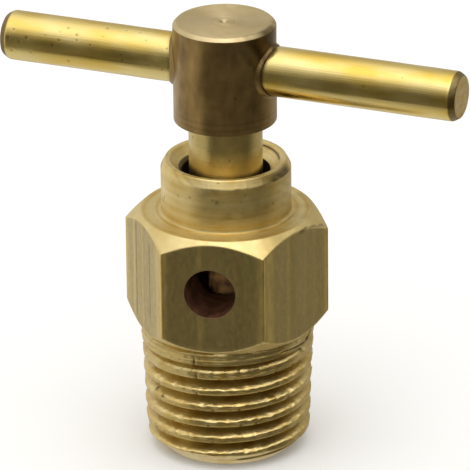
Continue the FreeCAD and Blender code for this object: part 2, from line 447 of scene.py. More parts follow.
def between(place, first, last, fade):
    """1 between two places and 0 outside them, with a fade inside each."""
    return clamped(np.minimum(place - first, last - place) / fade)


def wrapped(angles, whole=2 * math.pi):
    """Angles brought to within half of a whole on either side of zero."""
    return (angles + whole / 2) % whole - whole / 2


def smooth_noise(rng, count, place):
    """Noise between -1 and 1 along a line: this many random values, eased one to the next and repeated."""
    values = rng.uniform(-1, 1, count)
    step = np.floor(place).astype(int)
    share = eased(place - step)
    return values[step % count] * (1 - share) + values[(step + 1) % count] * share


def softened(stations, widths, steps=3):
    """Rounds the corners of a section: each corner with a width becomes a small curve of this many steps."""
    most_of_arm = 0.45
    rows = [stations[0]]
    for before, corner, after, width in zip(stations, stations[1:], stations[2:], widths[1:]):
        if width == 0:
            rows.append(corner)
            continue
        arms = []
        for end in (before, after):
            reach = np.linalg.norm(end - corner, axis=-1, keepdims=True)
            arms.append((end - corner) / reach * np.minimum(width, most_of_arm * reach))
        for t in np.linspace(0, 1, steps + 1):
            rows.append(corner + (1 - t) ** 2 * arms[0] + t ** 2 * arms[1])
    rows.append(stations[-1])
    return rows


def divided(rows, step_at):
    """Adds rows between those that lie further apart than the step at their middle radius and height."""
    fine = [rows[0]]
    for low, high in zip(rows, rows[1:]):
        step = step_at(*(0.5 * (low + high)).mean(0))
        count = max(1, math.ceil(np.linalg.norm(high - low, axis=-1).max() / step))
        fine.extend(low + (high - low) * i / count for i in range(1, count + 1))
    return np.stack(fine)


def even_rings(corners, columns, step_at):
    """Rows of a turned piece from its (radius, height, rounding) corners, and the angles of its columns."""
    angles = np.linspace(0, 2 * math.pi, columns, endpoint=False)
    stations = [np.tile(np.array([radius, height], float), (columns, 1)) for radius, height, _ in corners]
    return divided(softened(stations, [rounding for _, _, rounding in corners]), step_at), angles


def in_space(section, angles):
    """Points in space from rows of radius and height at these angles."""
    radius, height = section[..., 0], section[..., 1]
    return np.stack([radius * np.cos(angles), radius * np.sin(angles), height], -1).reshape(-1, 3)


def ring_faces(rows, columns):
    """Quads between rows of points that close round the axis."""
    here = np.arange(rows - 1)[:, None] * columns + np.arange(columns)
    beside = np.arange(rows - 1)[:, None] * columns + (np.arange(columns) + 1) % columns
    return np.stack([here, beside, beside + columns, here + columns], -1).reshape(-1, 4)


def middles(section):
    """Radius and height in the middle of each strip of faces."""
    half = 0.5 * (section[:-1] + section[1:])
    return half[..., 0], half[..., 1]


def scored(angles, section, marks):
    """Sinks marks into a turned surface and returns how dark each point gets, from 0 to 1.

    A mark is (radius, (degrees, height), (degrees, height), half width, depth) in millimetres: a scratch from
    one place to another, or a pit where both are the same. It only cuts a surface that is near its radius.
    """
    surface_reach = 0.3
    shortest = 1e-6
    radius, height = section[..., 0], section[..., 1]
    dark = np.zeros_like(radius)
    sunk = np.zeros_like(radius)
    for ring, start, end, half_width, depth in marks:
        across = wrapped(angles - math.radians(start[0])) * ring
        up = height / MM - start[1]
        run, rise = math.radians(end[0] - start[0]) * ring, end[1] - start[1]
        share = clamped((across * run + up * rise) / max(run * run + rise * rise, shortest))
        away = np.hypot(across - share * run, up - share * rise)
        near = hump(away, 0, half_width) * (np.abs(radius / MM - ring) < surface_reach)
        dark = np.maximum(dark, near)
        sunk = np.maximum(sunk, near * depth * MM)
    section[..., 0] -= sunk
    return dark


def add_piece(name, points, faces, slots, materials, values, merge=SAME_POINT):
    """An object of these points and faces, with a material for each face and named values at each point."""
    mesh = bpy.data.meshes.new(name)
    mesh.from_pydata(points.tolist(), [], faces.tolist())
    mesh.polygons.foreach_set("material_index", np.asarray(slots, np.int32).ravel())
    for title, numbers in values.items():
        layer = mesh.attributes.new(title, "FLOAT", "POINT")
        layer.data.foreach_set("value", np.asarray(numbers, np.float32).ravel())
    for material in materials:
        mesh.materials.append(material)
    work = bmesh.new()
    work.from_mesh(mesh)
    bmesh.ops.remove_doubles(work, verts=work.verts, dist=merge)
    bmesh.ops.recalc_face_normals(work, faces=work.faces)
    work.to_mesh(mesh)
    work.free()
    piece = bpy.data.objects.new(name, mesh)
    bpy.context.scene.collection.objects.link(piece)
    return piece


def add_cutter(name, corners, columns, step, slot, materials, stain_at):
    """A drill, turned from its corners, whose wall leaves this material and a darkening in the hole: dirt in
    the port, painted shade in the bar's hole.
    """
    section, angles = even_rings(corners, columns, lambda radius, level: step)
    faces = ring_faces(*section.shape[:2])
    return add_piece(name, in_space(section, angles), faces, np.full(len(faces), slot), materials,
                     {"stain": stain_at(section[..., 1])})


def drill(piece, cutter):
    """Cuts the cutter out of the piece and removes the cutter."""
    cut = piece.modifiers.new("Drilled", "BOOLEAN")
    cut.operation = "DIFFERENCE"
    cut.solver = "EXACT"
    cut.object = cutter
    view = bpy.context.evaluated_depsgraph_get()
    view.update()
    whole = piece.data
    piece.data = bpy.data.meshes.new_from_object(piece.evaluated_get(view))
    piece.modifiers.clear()
    bpy.data.meshes.remove(whole)
    bpy.data.objects.remove(cutter)


def shade(piece):
    """Smooth faces with crisp edges, and normals that keep the flat faces flat."""
    sharp_edge = math.radians(40)
    piece.data.polygons.foreach_set("use_smooth", np.ones(len(piece.data.polygons), bool))
    piece.data.set_sharp_from_angle(angle=sharp_edge)
    weighted = piece.modifiers.new("Flat faces stay flat", "WEIGHTED_NORMAL")
    weighted.keep_sharp = True


def place_on(piece, body, node):
    """Hands the piece to its moving body, in place of its solid."""
    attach(piece, body)
    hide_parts(node)


def hexagon_columns():
    """Angles of the body's columns, closer together at the hexagon's worn corners."""
    corner = np.array([0.0, 0.3, 0.55, 0.7, 0.85, 1.2])
    half = np.concatenate([corner, np.linspace(2.0, 30.0, 24)])
    side = np.concatenate([half, 60 - half[-2:0:-1]])
    return np.radians(np.concatenate([side + 60 * i for i in range(6)]))


def off_corner(angles):
    """Angle from the nearest corner of the hexagon; the corners are at 0, 60 degrees and so on."""
    return wrapped(angles, math.pi / 3)


def hexagon_radius(sizes, angles):
    """Radius of the hexagon bar at each angle, with rounded corners."""
    off = off_corner(angles)
    flat = sizes.hex_apothem / np.cos(math.pi / 6 - np.abs(off))
    centre = (sizes.hex_apothem - sizes.hex_corner_round) / math.cos(math.pi / 6)
    inside = sizes.hex_corner_round ** 2 - (centre * np.sin(off)) ** 2
    rounded = centre * np.cos(off) + np.sqrt(np.maximum(inside, 0))
    return np.where(inside > 0, np.minimum(flat, rounded), flat)


def thread_top_radius(sizes):
    """Crest radius of the taper at the foot of the hexagon."""
    return sizes.thread_end_radius + sizes.thread_taper * sizes.thread_length


# Rows in each turn of the thread, as shares of the pitch: a root is at 0 and the crest's middle at 0.5
THREAD_ROWS = np.array([0, 0.04, 0.13, 0.22, 0.31, 0.352, 0.375, 0.44,
                        0.5, 0.55, 0.59, 0.625, 0.66, 0.71, 0.79, 0.9])


def groove_root(sizes, level):
    """Radius of the groove's root: the taper, then the run-out, in steps where the die's chasers stopped."""
    chasers = 4
    stepped_share = 0.4
    step_steepness = 12
    runout = sizes.runout_turns * sizes.thread_pitch
    fade_from = sizes.thread_length - runout
    climb = np.maximum(level - fade_from, 0) / sizes.thread_pitch * chasers
    stop_turn = (sizes.stop_mark - sizes.thread_start) / (2 * math.pi)
    first_stop = stop_turn * chasers - fade_from / sizes.thread_pitch * chasers
    step = climb - first_stop
    whole = np.floor(step)
    stairs = whole + clamped((step - whole - 0.5) * step_steepness + 0.5) + first_stop
    climb = np.where(climb > 0, climb + stepped_share * (np.maximum(stairs, 0) - climb), 0)
    taper = sizes.thread_end_radius - sizes.thread_depth + sizes.thread_taper * level
    rise = (sizes.thread_depth - sizes.thread_taper * runout) / (sizes.runout_turns * chasers)
    return taper + np.maximum(climb, 0) * rise


def die_cut_radius(sizes, phase, level, along, rng):
    """Radius of the thread as a worn die cuts it, with its bare taper and how nicked it is.

    The phase is the share of a pitch over the root, and along is how many degrees the groove has run.
    """
    pitch = sizes.thread_pitch
    flank = 1 / math.tan(math.radians(30))
    upper_edge = hump(phase, 0.64, 0.09)
    lower_edge = hump(phase, 0.39, 0.05)

    # The die tears the crest's upper edge, so that it wanders by a few hundredths of a millimetre.
    long_tear, short_tear, tear_reach = 4.5, 1.9, 0.048
    tear = smooth_noise(rng, 997, along / long_tear)
    tear = tear + 0.9 * smooth_noise(rng, 991, along / short_tear)
    torn_phase = phase - tear_reach * tear * upper_edge

    # Crests are worn at the threaded end and stand a little higher at the top.
    end_wear, wear_fade = 0.08, 0.11
    crest_wear = (end_wear - wear_fade * level / sizes.thread_length) * MM
    blank = sizes.thread_end_radius + sizes.thread_taper * level - crest_wear
    below = groove_root(sizes, level - phase * pitch) + torn_phase * pitch * flank
    above = groove_root(sizes, level + (1 - phase) * pitch) + (1 - torn_phase) * pitch * flank
    groove = np.minimum(below, above)

    # Their edges are worn round, the upper one more.
    crest_middle, lower_ease, upper_ease = 0.5, 0.07 * MM, 0.16 * MM
    ease = np.where(phase > crest_middle, upper_ease, lower_ease)
    share = clamped(0.5 + 0.5 * (groove - blank) / ease)
    radius = groove * (1 - share) + blank * share - ease * share * (1 - share)
    crest = clamped((groove - blank) / (0.1 * MM) + 1)

    # The crests waver, their upper edge is rough, and their lower edge is nicked here and there.
    wobble = smooth_noise(rng, 977, along / 9)
    rough = smooth_noise(rng, 983, along / 2.4) * upper_edge
    radius = radius + (0.012 * wobble + 0.04 * rough) * MM * crest
    nick_from, nick_gain, nick_depth = 0.6, 2.4, 0.08 * MM
    nick = clamped(smooth_noise(rng, 971, along / 2.2) - nick_from) * nick_gain * lower_edge
    radius = radius - nick_depth * nick

    # Fine lines of the chasers' lead show on the last turns.
    lines_from, lines_gain = 0.78, 8
    last_turns = clamped((level / sizes.thread_length - lines_from) * lines_gain)
    lines = last_turns * np.cos(2 * math.pi * (phase * 3 + 0.2))
    return radius + (0.022 + 0.016 * wobble) * MM * lines * crest, blank, nick


def helix_faces(rows, columns):
    """Quads of a sheet along the helix, whose last column joins the first one a turn of rows up."""
    per_turn = len(THREAD_ROWS)
    index = np.arange(rows * columns).reshape(rows, columns)
    inner = np.stack([index[:-1, :-1], index[:-1, 1:], index[1:, 1:], index[1:, :-1]], -1).reshape(-1, 4)
    low, high = index[:rows - per_turn, -1], index[per_turn:, 0]
    return np.concatenate([inner, np.stack([low[:-1], high[:-1], high[1:], low[1:]], -1)])


def thread_surface(sizes, angles, rng):
    """The thread as a sheet whose rows follow the helix: section rows, faces and stain, which holds painted
    shade in the grooves.

    Rows under the end face or over the hexagon's foot are drawn in to those two circles, where they merge.
    """
    first_turn, last_turn = -1, 7
    turns = np.arange(first_turn, last_turn + 1)[:, None] + THREAD_ROWS
    lead = (angles - sizes.thread_start) / (2 * math.pi)
    turn = turns.reshape(-1, 1) + lead
    phase = np.tile(THREAD_ROWS, len(turns))[:, None] + 0 * lead
    level = turn * sizes.thread_pitch
    along = np.degrees((turn - phase) * 2 * math.pi)
    radius, blank, nick = die_cut_radius(sizes, phase, level, along, rng)

    growth = sizes.thread_end_radius + sizes.thread_taper * sizes.end_chamfer - sizes.end_face_radius
    chamfer = sizes.end_face_radius + growth / sizes.end_chamfer * np.maximum(level, 0)
    # The groove is filled where it would leave through the end's chamfer.
    filled_height = 0.5 * MM
    radius = radius + (blank - radius) * clamped(1.3 - level / filled_height)
    radius = np.minimum(radius, chamfer)
    in_groove = (blank > radius) & (chamfer > radius)
    # Painted shade: the flank under each crest is darkened in the groove
    flank_shade, darkest = 0.3, 0.9
    on_flank = flank_shade * hump(phase, 0.86, 0.08) * in_groove
    section = np.stack([radius, level], -1)
    stain = np.clip(on_flank + darkest * nick, 0, darkest)
    stain = np.maximum(stain, scored(angles, section, THREAD_MARKS))

    radius, level = section[..., 0], section[..., 1]
    radius[level <= 0] = sizes.end_face_radius
    radius[level >= sizes.thread_length] = thread_top_radius(sizes)
    section[..., 1] = np.clip(level, 0, sizes.thread_length)
    return section, helix_faces(*stain.shape), stain


def body_section(sizes, angles, rng):
    """Rows of the body from its thread's top, over hexagon and collar, then down its bores to its end."""
    def station(radius, level, rounding_mm=0.0):
        return np.column_stack(np.broadcast_arrays(radius + 0 * angles, level + 0 * angles)), rounding_mm * MM

    hexagon = hexagon_radius(sizes, angles)
    drill_slope = math.tan(math.radians(59))
    # The lower cone cuts a little less all round, and least at the corner left of the port.
    left_of_port = hump(np.degrees(angles), 240, 18)
    low = sizes.thread_length + (hexagon - thread_top_radius(sizes)) / math.tan(sizes.hex_lower_angle)
    low = low - (0.06 + 0.22 * left_of_port) * MM
    high = sizes.hex_top - (hexagon - sizes.hex_top_radius) * math.tan(sizes.hex_upper_angle)
    rim_chips = 163
    ragged = smooth_noise(rng, rim_chips, angles / (2 * math.pi) * rim_chips)
    rim_foot = sizes.rim_level - sizes.rim_height + 0.03 * MM * ragged
    mouth_floor = sizes.rim_level - (sizes.mouth_radius - sizes.bore_radius)
    chamber_top = sizes.bore_floor - (sizes.bore_radius - sizes.chamber_radius) / drill_slope
    seat_top = sizes.seat_level + (sizes.chamber_radius - sizes.orifice_radius) / drill_slope
    inlet_top = sizes.inlet_length + (sizes.inlet_radius - sizes.orifice_radius) / drill_slope
    inlet_edge = 0.2 * MM

    stations = [
        station(thread_top_radius(sizes), sizes.thread_length),
        station(hexagon, low, 0.1),
        station(hexagon, high, 0.09),
        station(sizes.hex_top_radius, sizes.hex_top, 0.08),
    ]
    # Two low ridges that the facing tool left on the hexagon's top: radius and height
    ridge_foot = 0.09 * MM
    ridges = [(sizes.hex_top_radius - 0.6 * MM, 0.012 * MM), (sizes.collar_radius + 0.42 * MM, 0.03 * MM)]
    for ring, rise in ridges:
        for out, up in ((ridge_foot, 0), (0, rise), (-ridge_foot, 0)):
            stations.append(station(ring + out, sizes.hex_top + up))
    stations += [
        station(sizes.collar_radius, sizes.hex_top, sizes.collar_root / MM),
        station(sizes.collar_radius, rim_foot, 0.06),
        station(sizes.collar_radius - sizes.rim_width, sizes.rim_level, 0.07),
        station(sizes.mouth_radius, sizes.rim_level, 0.05),
        station(sizes.bore_radius, mouth_floor, 0.06),
        station(sizes.bore_radius, sizes.bore_floor),
        station(sizes.chamber_radius, chamber_top),
        station(sizes.chamber_radius, seat_top),
        station(sizes.orifice_radius, sizes.seat_level),
        station(sizes.orifice_radius, inlet_top),
        station(sizes.inlet_radius, sizes.inlet_length),
        station(sizes.inlet_radius, inlet_edge),
        station(sizes.inlet_radius + inlet_edge, 0),
        station(sizes.end_face_radius, 0),
    ]

    def step_at(radius, level):
        in_bores, on_collar, on_flats = 1.5 * MM, 0.13 * MM, 0.28 * MM
        if radius < sizes.bore_radius + 0.05 * MM or level < sizes.thread_length:
            return in_bores
        return on_collar if level > sizes.hex_top else on_flats

    return divided(softened(*zip(*stations)), step_at)


# Marks that the photograph shows, in the form that scored() takes
COLLAR_MARKS = [
    (5.2, (-151, 21.9), (-151, 21.8), 0.1, 0.03), (5.2, (-155.5, 21.5), (-155, 21.4), 0.1, 0.03),
    (5.2, (-128, 22.75), (-127, 22.7), 0.06, 0.02), (5.2, (-93, 23.0), (-92, 22.95), 0.07, 0.02),
    (5.2, (-89, 22.85), (-88, 22.75), 0.11, 0.03), (5.2, (-63.5, 23.3), (-63.5, 23.3), 0.08, 0.03),
    (5.2, (-67, 22.75), (-67, 22.75), 0.06, 0.02), (5.2, (-115, 23), (-113, 22.9), 0.05, 0.02),
    (5.2, (62, 22.3), (60, 22.1), 0.1, 0.03), (5.2, (118, 21.4), (118, 21.4), 0.1, 0.03),
]
# Mouth marks: a groove round the countersink, painted dark as shade in it, and a short mark on the rim
MOUTH_MARKS = [(4.28, (9, 24.31), (55, 24.31), 0.06, 0.05), (4.9, (49, 24.45), (46, 24.4), 0.08, 0.04)]
HEXAGON_MARKS = [
    (7.2, (-38.4, 18.25), (-38.4, 18.25), 0.1, 0.04), (7.3, (-77, 17.35), (-77, 17.35), 0.1, 0.03),
    (7.4, (-140, 12.6), (-140, 12.6), 0.1, 0.04), (7.45, (-26, 19.75), (-18, 19.85), 0.08, 0.03),
    (7.6, (-18, 19.8), (-9, 19.55), 0.08, 0.03), (7.9, (-9, 19.5), (-2, 19.25), 0.08, 0.03),
    (7.3, (-162.4, 11.4), (-162.4, 19.5), 0.09, 0.012), (7.3, (-137.6, 12.4), (-137.6, 18.6), 0.08, 0.01),
]
THREAD_MARKS = [
    (6.9, (-5, 10.3), (-14, 9.75), 0.2, 0.15), (6.9, (-15, 9.75), (-42, 9.85), 0.07, 0.06),
    (6.8, (-14, 9.65), (-20, 9.2), 0.18, 0.12), (6.75, (-15, 7.85), (-15, 7.7), 0.1, 0.06),
    (6.7, (-144, 5.75), (-142, 5.65), 0.09, 0.06), (6.7, (-133, 5.6), (-131, 5.55), 0.08, 0.05),
    (6.6, (-143.5, 2), (-143.5, 1.9), 0.1, 0.08), (6.6, (-10, 2.75), (-8, 2.7), 0.12, 0.1),
    (6.7, (-45, 6.6), (-43, 6.55), 0.08, 0.06), (6.85, (-104, 10.1), (-103, 9.3), 0.06, 0.05),
    (6.85, (-103, 9), (-102, 7.7), 0.06, 0.06), (6.75, (-102.5, 8.2), (-102.5, 8.1), 0.1, 0.06),
    (6.75, (-102.5, 6.8), (-102.5, 6.7), 0.1, 0.06), (6.7, (-91, 5.42), (-91, 5.35), 0.09, 0.06),
    (6.7, (-73, 5.48), (-73, 5.4), 0.09, 0.06), (6.65, (-94.5, 4), (-94.5, 3.93), 0.09, 0.06),
    (6.65, (-72, 4.08), (-72, 4), 0.1, 0.06), (6.65, (-61, 4.12), (-61, 4.05), 0.1, 0.06),
    (6.7, (-35, 5.65), (-34, 5.58), 0.1, 0.06),
]
STEM_MARKS = [
    (4.1, (-69, 31.2), (-69, 31.2), 0.12, 0.04), (2.95, (-75, 25.45), (-73, 25.5), 0.1, 0.04),
    (2.95, (-73, 26.25), (-73, 26.25), 0.08, 0.03), (2.95, (-143, 26.9), (-140, 26.8), 0.12, 0.04),
]
# Painted sheen: light streaks along the flats. Degrees about the axis, half width in degrees and strength
FLAT_SHEEN_STREAKS = [
    (194, 1.6, 0.6), (209, 1.4, 0.4), (235, 3, 0.5), (262, 1.9, 0.75), (305, 3.4, 0.8), (322, 1.5, 0.4),
]
# Pits on the front of the rod: millimetres along it from the stem, degrees up from the front, and radius
ROD_PITS = [
    (-13, 57, 0.09), (-12.1, 42, 0.1), (-13.6, 43.5, 0.06), (-16.3, 19, 0.1), (-13.5, 23.5, 0.09),
    (-12, 29, 0.07), (-9.8, 73, 0.09), (-8.2, 74, 0.06), (-7, 73, 0.06), (-9.9, 47, 0.06), (-4.3, 39, 0.08),
    (-17.5, 34.5, 0.07), (-17.6, -16, 0.09), (-12.7, -25, 0.09), (-8, 10, 0.06), (-14, 10.5, 0.09),
    (-17.9, 14, 0.09), (-15.9, -14, 0.07), (-10.8, 22, 0.06), (-14.7, 30, 0.06), (-6.2, 52, 0.06),
    (-16.9, 8, 0.06), (12.5, 15, 0.06), (15.5, 48, 0.05),
]


def body_dirt_and_shade(sizes, angles, section, rng):
    """Darkening on the rim, strong on its right and in blotches on its left, and on the right of the collar;
    painted shade on the right of the hexagon's top and in the bore round the stem.
    """
    # First and last degrees about the axis, and degrees of fade
    right_of_rim, right_of_collar, right_of_top = (-44, 2, 12), (-33, 8, 12), (-35, 60, 25)
    left_of_rim, left_fade = -95, 20
    left_dirt_and_shade, bore_shade, collar_darkening, top_shade = 0.3, 0.85, 0.22, 0.22
    blotch_degrees, blotch_height = 7, 0.3 * MM
    radius, level = section[..., 0], section[..., 1]
    degrees = np.degrees(wrapped(angles))
    blotches = smooth_noise(rng, 509, degrees / blotch_degrees + level / blotch_height)

    # The rim is darker on its right, most towards its foot, and in blotches on its left
    rim = (level > sizes.rim_level - sizes.rim_height) & (radius > sizes.mouth_radius + 0.1 * MM)
    under_rim = (sizes.rim_level - level) / sizes.rim_height
    right = (0.75 + 0.15 * blotches) * between(degrees, *right_of_rim) * clamped(0.25 + 1.5 * under_rim)
    left = left_dirt_and_shade * clamped((left_of_rim - degrees) / left_fade) * clamped(blotches)
    on_rim = rim * np.maximum(right, left)

    # Painted shade in the bore round the stem, reaching further out on the left of the neck
    left_of_neck = clamped(1.6 - np.abs(np.abs(degrees) - 180) / 45)
    mouth_foot = sizes.bore_radius + (0.02 + 0.28 * left_of_neck) * MM
    bore = (radius < mouth_foot) & (level > sizes.bore_floor) & (level < sizes.rim_level)

    # The collar is darker on its right
    collar = (radius > sizes.collar_radius - 0.05 * MM) & (level > sizes.hex_top + 0.2 * MM) & ~rim
    on_collar = collar * between(degrees, *right_of_collar) * clamped(0.8 + 0.5 * blotches)
    # Painted shade on the right of the hexagon's top
    top = (level > sizes.hex_top - 0.03 * MM) & (radius > sizes.collar_radius + 0.1 * MM)
    on_top = top * between(degrees, *right_of_top) * (0.8 + 0.3 * blotches)
    return np.maximum.reduce([on_rim, bore_shade * bore, collar_darkening * on_collar, top_shade * on_top])


def body_slots(sizes, angles, section):
    """Which material each face of the body has: the hexagon's skin, turned brass or a drilled bore."""
    radius, level = middles(section)
    collar = (level > sizes.hex_top) & (radius > sizes.bore_radius + 0.02 * MM)
    outside = (level > sizes.thread_length) & (radius > sizes.collar_radius)
    on_flat = outside & (np.abs(radius - hexagon_radius(sizes, angles)) < SAME_POINT)
    end_face = level < 0.25 * MM
    return np.where(on_flat, HEX_SKIN, np.where(outside | collar | end_face, TURNED, DRILLED))


def body_wear_and_sheen(angles):
    """How worn the hexagon is at each angle: its corners, with painted sheen in light streaks along its
    flats.
    """
    corner_width = 3.2
    wear = hump(np.degrees(off_corner(angles)), 0, corner_width)
    for degrees, half_width, strength in FLAT_SHEEN_STREAKS:
        wear = np.maximum(wear, strength * hump(np.degrees(angles), degrees, half_width))
    return wear


class DRAINCOCK_OT_body(bpy.types.Operator):
    """Make the threaded hexagon body, with its collar, bores and drain port"""
    bl_idname = "draincock.body"
    bl_label = "Body"

    def execute(self, context):
        sizes, finish = context.scene.drain_cock_body, context.scene.drain_cock_finish
        rng = np.random.default_rng(BODY_SEED)
        angles = hexagon_columns()
        section = body_section(sizes, angles, rng)
        slots = body_slots(sizes, angles, section)
        # The wear value holds the worn corners and painted sheen streaks along the flats
        wear = body_wear_and_sheen(angles) + np.zeros(section.shape[:2])
        pits = TURNED_PIT_DIRT * scored(angles, section, COLLAR_MARKS + HEXAGON_MARKS)
        # The mouth marks are painted full dark; the groove's dark is painted shade
        painted_mouth_line = scored(angles, section, MOUTH_MARKS)
        stain = np.maximum.reduce([pits, painted_mouth_line, body_dirt_and_shade(sizes, angles, section, rng)])

        thread_section, thread_faces, thread_stain = thread_surface(sizes, angles, rng)
        points = np.concatenate([in_space(section, angles), in_space(thread_section, angles)])
        faces = np.concatenate([ring_faces(*section.shape[:2]), thread_faces + stain.size])
        slots = np.concatenate([slots.ravel(), np.full(len(thread_faces), THREADED)])
        values = {
            "stain": np.concatenate([stain.ravel(), thread_stain.ravel()]),
            "wear": np.concatenate([wear.ravel(), np.zeros(thread_stain.size)]),
        }
        materials = [drawn_hexagon_brass(finish), turned_hexagon_brass(finish), cut_thread_brass(finish),
                     drilled_brass(finish)]
        body = add_piece("body", points, faces, slots, materials, values, merge=0.004 * MM)
        drill(body, port_cutter(sizes, materials))
        shade(body)
        place_on(body, "cock_body", "valve_body")
        return {"FINISHED"}


def port_cutter(sizes, materials):
    """Drill for the port, flared a little where it leaves the flat."""
    columns, step = 96, 2 * MM
    flare = 0.025 * MM
    mouth_dirt, wall_dirt = 0.85, 0.2
    radius, front = sizes.port_radius, sizes.hex_apothem
    corners = [(0, 0, 0), (radius, 0, 0), (radius, front - flare, 0), (radius + 2 * flare, front + flare, 0),
               (0, front + flare, 0)]
    cutter = add_cutter("port_drill", corners, columns, step, DRILLED, materials,
                        lambda along: np.where(along > front - 2 * flare, mouth_dirt, wall_dirt))
    cutter.matrix_world = (Matrix.Translation((sizes.port_offset, 0, sizes.port_level))
                           @ Matrix.Rotation(math.radians(90), 4, "X"))
    return cutter


def bar_matrix(bar):
    """From the rod's own frame, along Z, to its place through the head."""
    return (Matrix.Translation((0, 0, bar.level)) @ Matrix.Rotation(bar.turn, 4, "Z")
            @ Matrix.Rotation(math.radians(90), 4, "Y"))


def bar_cutter(sizes, bar, materials):
    """Drill for the bar's hole, whose wall is darkened as painted shade between the head and the rod."""
    columns, hole_shade = 128, 0.8
    hole = bar.radius + bar.hole_clearance
    reach = 1.5 * sizes.head_radius
    corners = [(0, -reach, 0), (hole, -reach, 0), (hole, reach, 0), (0, reach, 0)]
    # The hole's wall is painted dark as shade between the head and the rod
    cutter = add_cutter("bar_drill", corners, columns, reach, HEAD_SIDE, materials,
                        lambda along: np.full_like(along, hole_shade))
    cutter.matrix_world = bar_matrix(bar)
    return cutter


def raise_burr(sizes, bar, angles, section):
    """Raises the head's side round the bar's hole, where the drill and the rod pushed metal out."""
    radius, level = section[..., 0], section[..., 1]
    side = np.abs(radius - sizes.head_radius) < SAME_RADIUS
    from_bar = np.hypot(radius * np.sin(angles - bar.turn), level - bar.level)
    near = clamped(1 - (from_bar - bar.radius - bar.hole_clearance) / sizes.burr_width)
    section[..., 0] += sizes.burr_height * eased(near) * side


def stem_section(sizes):
    """Rows of the stem from its nose up to the dimple on its head, and the angles of its columns."""
    columns = 240
    # A shallow ring round the dimple, left by the facing tool
    ring, ring_foot, ring_depth = 0.9 * MM, 0.08 * MM, 0.02 * MM
    corners = [
        (0, sizes.nose_tip, 0),
        (sizes.nose_tip_radius, sizes.nose_tip, 0.04 * MM),
        (sizes.nose_radius, sizes.nose_shoulder, 0.1 * MM),
        (sizes.nose_radius, sizes.guide_low, 0.1 * MM),
        (sizes.guide_radius, sizes.guide_low, 0.15 * MM),
        (sizes.guide_radius, sizes.guide_top, 0.15 * MM),
        (sizes.neck_radius, sizes.guide_top, 0.1 * MM),
        (sizes.neck_radius, sizes.head_low, 0.1 * MM),
        (sizes.head_radius - sizes.low_chamfer, sizes.head_low, 0.03 * MM),
        (sizes.head_radius, sizes.head_low + sizes.low_chamfer, 0.04 * MM),
        (sizes.head_radius, sizes.head_top - sizes.top_chamfer, 0.06 * MM),
        (sizes.head_radius - sizes.top_chamfer, sizes.head_top, 0.06 * MM),
        (ring + ring_foot, sizes.head_top, 0),
        (ring, sizes.head_top - ring_depth, 0),
        (ring - ring_foot, sizes.head_top, 0),
        (sizes.dimple_radius, sizes.head_top, 0.06 * MM),
        (0, sizes.head_top - sizes.dimple_depth, 0),
    ]

    def step_at(radius, level):
        on_head, below = 0.11 * MM, 0.25 * MM
        return on_head if radius > sizes.guide_radius else below

    return even_rings(corners, columns, step_at)


def stem_slots(sizes, section):
    """Which material each face of the stem has: nose, neck, the head's side or its faced top."""
    _, level = middles(section)
    below_head = np.where(level > sizes.guide_low, NECK, NOSE)
    slots = np.where(level > sizes.head_low + 0.01 * MM, HEAD_SIDE, below_head)
    return np.where(level > sizes.head_top - sizes.top_chamfer, FACED, slots)


def stem_dirt_and_shade(sizes, angles, section, rng):
    """Dirt in the dimple and in rings low on the head, painted shade over the bar's right hole and on the
    neck going into the mouth, and a neck darker towards the head.
    """
    # The painted shade over the hole: degrees about the axis and depth under the head's top, each with a half
    # size
    hole_at, hole_width, hole_drop, hole_height = -26, 26, 0.8 * MM, 1.6 * MM
    ring_reach, ring_spacing = 1.3 * MM, 0.5 * MM
    mouth_drop, mouth_fade, neck_fade = 3.75 * MM, 0.25 * MM, 1.5 * MM
    radius, level = section[..., 0], section[..., 1]
    degrees = np.degrees(wrapped(angles))
    head = level > sizes.head_low
    in_dimple = head & (radius < sizes.dimple_radius)
    near_hole = np.hypot((degrees - hole_at) / hole_width, (level - sizes.head_top + hole_drop) / hole_height)
    blotches = smooth_noise(rng, 211, degrees / 9 + level / (0.9 * MM))
    # Painted shade: a dark patch on the head's right side and chamfer, over the bar's hole
    over_hole = head * (radius > sizes.head_radius - 0.4 * MM) * clamped(1.45 - near_hole + 0.3 * blotches)
    low_head = head & (radius > sizes.neck_radius + 0.3 * MM) & (level < sizes.head_low + ring_reach)
    low_rings = low_head * clamped(np.cos(2 * math.pi * (level - sizes.head_low) / ring_spacing))
    # Painted shadow on the neck where it goes down into the mouth; the neck is also darker towards the head
    entry = sizes.head_low - mouth_drop
    in_mouth = clamped((entry - level) / mouth_fade) * (level > sizes.guide_top)
    upper_neck = clamped((level - entry) / neck_fade - 0.4) * ~head
    return np.maximum.reduce([0.25 * in_dimple, 0.75 * over_hole, 0.2 * low_rings, 0.6 * in_mouth,
                              0.32 * upper_neck])


class DRAINCOCK_OT_stem(bpy.types.Operator):
    """Make the stem, with its head, neck, guide and nose, and the bar's hole"""
    bl_idname = "draincock.stem"
    bl_label = "Stem"

    def execute(self, context):
        sizes, finish = context.scene.drain_cock_stem, context.scene.drain_cock_finish
        bar = context.scene.drain_cock_bar
        rng = np.random.default_rng(STEM_SEED)
        section, angles = stem_section(sizes)
        slots = stem_slots(sizes, section)
        pits = TURNED_PIT_DIRT * scored(angles, section, STEM_MARKS)
        stain = np.maximum(pits, stem_dirt_and_shade(sizes, angles, section, rng))
        raise_burr(sizes, bar, angles, section)
        materials = [darkened_head_brass(finish), faced_head_brass(finish), turned_neck_brass(finish),
                     stained_nose_brass(finish)]
        stem = add_piece("stem_turned", in_space(section, angles), ring_faces(*stain.shape), slots, materials,
                         {"stain": stain})
        # The burr's bent faces are split flat first, so that the hole's edge is cut cleanly.
        stem.modifiers.new("Flat faces", "TRIANGULATE")
        drill(stem, bar_cutter(sizes, bar, materials))
        shade(stem)
        place_on(stem, "turning_stem", "stem")
        return {"FINISHED"}


